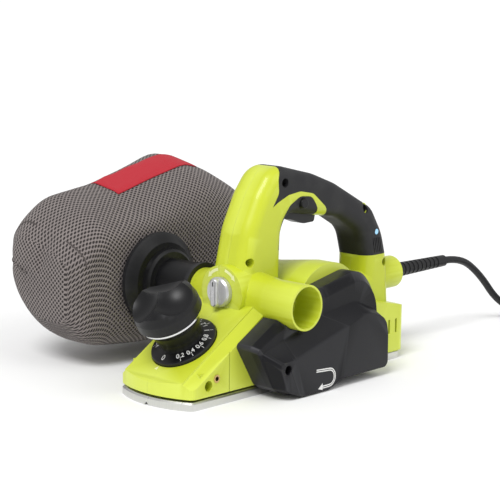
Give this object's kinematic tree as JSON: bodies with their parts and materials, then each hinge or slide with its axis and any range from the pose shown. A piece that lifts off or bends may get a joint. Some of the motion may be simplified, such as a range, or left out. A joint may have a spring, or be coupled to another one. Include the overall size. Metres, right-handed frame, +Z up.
{
  "type": "electric hand planer",
  "caption": "Corded hand planer with adjustable front shoe and depth knob, belt-driven cutter, loop handle, chip diverter and side dust bag.",
  "frame": {"origin": "on the rear sole, on the centre line, 10 mm behind the cutter axis", "axes": "+X to the rear where the lead leaves, +Y to the dust-bag side, +Z up from the sole"},
  "size_m": [0.6345, 0.3706, 0.1954],
  "materials": {
    "shell": "satin, fine grain",
    "grip": "matt, soft",
    "cover": "satin",
    "black_plastic": "satin",
    "silver_plastic": "silver paint, satin",
    "alloy": "ground sole",
    "steel": "machined",
    "dark_steel": "blackened",
    "lens": "translucent blue",
    "bright_ring": "polished",
    "brass": "turned",
    "carbon": "matt",
    "laminations": "varnished laminations",
    "copper": "turned copper",
    "belt": "ribbed rubber",
    "switch_plastic": "matt",
    "cord": "satin rubber jacket",
    "bag_cloth": "open knitted mesh",
    "label_cloth": "woven label"
  },
  "bodies": {
    "machine": {"base_casting": "alloy", "housing_left": "shell", "housing_right": "shell", "grip_left": "grip", "grip_right": "grip", "belt_cover": "cover", "belt_cover_screw": "dark_steel", "housing_screws": "dark_steel", "motor_vent_cap": "black_plastic", "motor_cap_screws": "steel", "guide_inserts": "brass", "bearing_cap": "alloy", "drum_bearings": "steel", "drive_belt": "belt", "motor_bearings": "steel", "stator": "laminations", "brush_holders": "brass", "carbon_brushes": "carbon", "switch_body": "switch_plastic", "capacitor": "switch_plastic", "trigger_pin": "steel", "cord_clamp": "black_plastic", "cord_guard": "cord", "power_cord": "cord", "cord_coil": "cord", "mains_plug": "cord", "plug_pins": "brass", "power_light": "lens"},
    "shoe": {"front_shoe": "alloy", "depth_spring": "steel"},
    "knob": {"depth_dial": "black_plastic", "depth_knob": "black_plastic", "knob_ring": "bright_ring", "depth_screw": "steel"},
    "cutter": {"cutter_drum": "alloy", "drum_shaft": "steel", "planer_blades": "steel", "blade_clamps": "steel", "clamp_screws": "steel", "drum_pulley": "alloy"},
    "armature": {"armature_shaft": "steel", "rotor_core": "laminations", "commutator": "copper", "cooling_fan": "black_plastic", "motor_pulley": "alloy"},
    "diverter": {"diverter_flap": "black_plastic", "diverter_knob": "silver_plastic"},
    "trigger_body": {"trigger": "black_plastic"},
    "lock_button": {"lock_off_button": "black_plastic"},
    "adaptor": {"bag_adaptor": "black_plastic"},
    "bag": {"bag_collar": "black_plastic", "dust_bag": "bag_cloth", "bag_label": "label_cloth"}
  },
  "joints": [
    {"name": "shoe_slide", "type": "slide", "parent": "machine", "child": "shoe", "axis": [-0.5299, 0, 0.848], "range_m": [0, 0.0024]},
    {"name": "depth_turn", "type": "hinge", "parent": "machine", "child": "knob", "pos_m": [-0.0925, 0, 0.0495], "axis": [0.5299, 0, -0.848], "range_deg": [0, 288]},
    {"name": "cutter_spin", "type": "hinge", "parent": "machine", "child": "cutter", "pos_m": [-0.01, 0, 0.024], "axis": [0, 1, 0], "continuous": true},
    {"name": "motor_spin", "type": "hinge", "parent": "machine", "child": "armature", "pos_m": [0.05, 0, 0.062], "axis": [0, 1, 0], "continuous": true},
    {"name": "diverter_turn", "type": "hinge", "parent": "machine", "child": "diverter", "pos_m": [-0.02, -0.003, 0.0875], "axis": [1, 0, 0], "range_deg": [0, 90]},
    {"name": "trigger_pull", "type": "hinge", "parent": "machine", "child": "trigger_body", "pos_m": [0.03, 0, 0.154], "axis": [0, -1, 0], "range_deg": [0, 7], "stiffness_Nm_per_rad": 0.8, "springref_deg": -17.19},
    {"name": "lock_press", "type": "slide", "parent": "machine", "child": "lock_button", "axis": [0, 1, 0], "range_m": [0, 0.004], "stiffness_N_per_m": 400, "springref_m": -0.002},
    {"name": "bag_pull", "type": "slide", "parent": "machine", "child": "adaptor", "axis": [0, 1, 0], "range_m": [0, 0.02]},
    {"name": "bag_swivel", "type": "hinge", "parent": "adaptor", "child": "bag", "pos_m": [-0.02, 0.1, 0.08], "axis": [0, -1, 0], "range_deg": [-8, 25]}
  ],
  "couplings": [
    {"joint": "depth_turn", "follows": "shoe_slide", "rad_per_m": 2094.4},
    {"joint": "motor_spin", "follows": "cutter_spin", "ratio": 1.6364}
  ]
}
